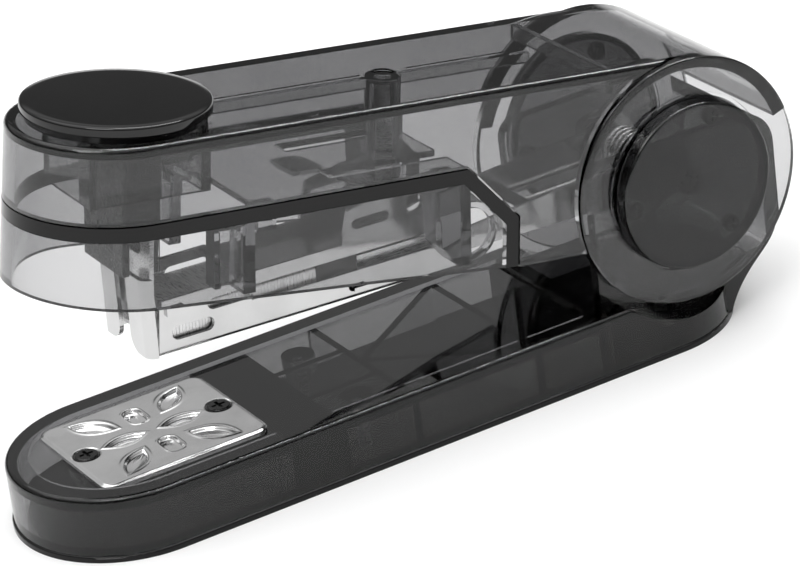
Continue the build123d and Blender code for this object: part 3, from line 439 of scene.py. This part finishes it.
def add_pusher_spring(steps=26, sides=8):
    """The pusher's spring, a wound wire coil riding on the pusher; the real one shortens as the pusher
    slides back.
    """
    points = node_points("pusher_spring")
    lengths = [(point - HINGE).dot(MAGAZINE_BACK) for point in points]
    heights = [(point - HINGE).dot(MAGAZINE_UP) for point in points]
    front, back = min(lengths) + SPRING_WIRE, max(lengths) - SPRING_WIRE
    radius = (max(heights) - min(heights)) / 2 - SPRING_WIRE
    start = HINGE + MAGAZINE_BACK * front + MAGAZINE_UP * (max(heights) + min(heights)) / 2
    side = Vector((0, 1, 0))
    wire = bmesh.new()
    rings = []
    for step in range(SPRING_TURNS * steps + 1):
        angle = 2 * math.pi * step / steps
        outward = side * math.cos(angle) + MAGAZINE_UP * math.sin(angle)
        along = (back - front) * step / (SPRING_TURNS * steps)
        center = start + MAGAZINE_BACK * along + outward * radius
        ring = []
        for corner in range(sides):
            turn = 2 * math.pi * corner / sides
            offset = outward * math.cos(turn) + MAGAZINE_BACK * math.sin(turn)
            ring.append(wire.verts.new(center + offset * SPRING_WIRE))
        rings.append(ring)
    for ahead, behind in zip(rings, rings[1:]):
        for corner in range(sides):
            after = (corner + 1) % sides
            wire.faces.new((ahead[corner], ahead[after], behind[after], behind[corner]))
    for end in (rings[0], rings[-1]):
        wire.faces.new(end)
    bmesh.ops.recalc_face_normals(wire, faces=wire.faces)
    mesh = bpy.data.meshes.new("pusher_spring_wound")
    wire.to_mesh(mesh)
    wire.free()
    piece = finished(mesh, "pusher_spring_wound", SPRING_STEEL, "pusher_spring", "pusher")
    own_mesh(piece)


add_thumb_pad()
add_anvil_plate()
add_pusher_spring()

# ------------------------------------------------------------------ stage, light and camera

FLOOR_HALF = 4.0
FLOOR_SHADE = (0.93, 0.93, 0.93, 1)
AIM = (0, 0, 0.02)  # the lights aim at the stapler's middle
# A white horizon, a dark band that the steel mirrors, a mid band and a bright ceiling.
STUDIO_BANDS = [(-1.0, 1.0), (0.03, 1.0), (0.12, 0.12), (0.3, 0.12)]
STUDIO_BANDS += [(0.4, 0.5), (0.6, 0.5), (0.82, 2.2), (1.0, 2.2)]
CAMERA_ANGLES = (-27.778, 25.279, -7.556)  # azimuth, elevation and roll in degrees
CAMERA_AHEAD = 43.509 * MM  # how far before the hinge the camera aims
CAMERA_AIM_HEIGHT = 19.174 * MM
CAMERA_DISTANCE = 0.5985
CAMERA_LENS = 177.31
LIGHT_BOUNCES = 28  # enough to pass through all the clear walls


def add_floor():
    """A large pale floor under the stapler."""
    mesh = bpy.data.meshes.new("floor")
    half = FLOOR_HALF
    mesh.from_pydata(
        [(-half, -half, 0), (half, -half, 0), (half, half, 0), (-half, half, 0)], [], [(0, 1, 2, 3)]
    )
    floor = bpy.data.objects.new("floor", mesh)
    bpy.context.scene.collection.objects.link(floor)
    material, tree, output = new_material("floor_paint")
    shader = principled(tree, output)
    shader.inputs["Base Color"].default_value = FLOOR_SHADE
    shader.inputs["Roughness"].default_value = 0.9
    shader.inputs["Specular IOR Level"].default_value = 0.0
    mesh.materials.append(material)


def add_light(name, place, aim, size, power):
    """A soft rectangular studio light."""
    data = bpy.data.lights.new(name, "AREA")
    data.shape = "RECTANGLE"
    data.size, data.size_y = size
    data.energy = power
    lamp = bpy.data.objects.new(name, data)
    bpy.context.scene.collection.objects.link(lamp)
    lamp.location = place
    lamp.rotation_euler = (Vector(aim) - Vector(place)).to_track_quat("-Z", "Y").to_euler()
    return lamp


def add_world(bands):
    """A studio surround that changes with height above the horizon: bands are (sine, brightness)."""
    world = bpy.data.worlds.new("studio")
    bpy.context.scene.world = world
    world.use_nodes = True
    tree = world.node_tree
    background = tree.nodes["Background"]
    coords = tree.nodes.new("ShaderNodeTexCoord")
    split = tree.nodes.new("ShaderNodeSeparateXYZ")
    tree.links.new(coords.outputs["Generated"], split.inputs["Vector"])
    height = spread(tree, split.outputs["Z"], 0.0, 1.0, -1.0, 1.0)
    brightest = max(level for _, level in bands)
    stops = [((sine + 1) / 2, level / brightest) for sine, level in bands]
    tree.links.new(colours(tree, height, stops), background.inputs["Color"])
    background.inputs["Strength"].default_value = brightest


def add_camera():
    """The camera, from the front left and above, leaning a few degrees."""
    azimuth, elevation, roll = (math.radians(angle) for angle in CAMERA_ANGLES)
    target = Vector((HINGE.x - CAMERA_AHEAD, 0, CAMERA_AIM_HEIGHT))
    back = Vector(
        (
            math.sin(azimuth) * math.cos(elevation),
            -math.cos(azimuth) * math.cos(elevation),
            math.sin(elevation),
        )
    )
    right = (-back).cross(Vector((0, 0, 1))).normalized()
    up = right.cross(-back)
    tilted_right = right * math.cos(roll) + up * math.sin(roll)
    tilted_up = up * math.cos(roll) - right * math.sin(roll)
    data = bpy.data.cameras.new("camera")
    data.lens = CAMERA_LENS
    data.sensor_width = 36
    data.clip_end = 50
    camera = bpy.data.objects.new("camera", data)
    bpy.context.scene.collection.objects.link(camera)
    turn = Matrix((tilted_right, tilted_up, back)).transposed().to_4x4()
    camera.matrix_world = Matrix.Translation(target + back * CAMERA_DISTANCE) @ turn
    bpy.context.scene.camera = camera


add_floor()
add_world(STUDIO_BANDS)
add_light("key", place=(-0.5, -0.5, 0.9), aim=AIM, size=(0.5, 0.5), power=3)
strip = add_light("strip", place=(0.4, 0.03, 0.86), aim=AIM, size=(0.2, 0.7), power=6)
strip.visible_diffuse = False  # it only draws highlights on the polished edges
add_camera()
scene = bpy.context.scene
scene.view_settings.view_transform = "Standard"
scene.cycles.max_bounces = LIGHT_BOUNCES
scene.cycles.transmission_bounces = LIGHT_BOUNCES
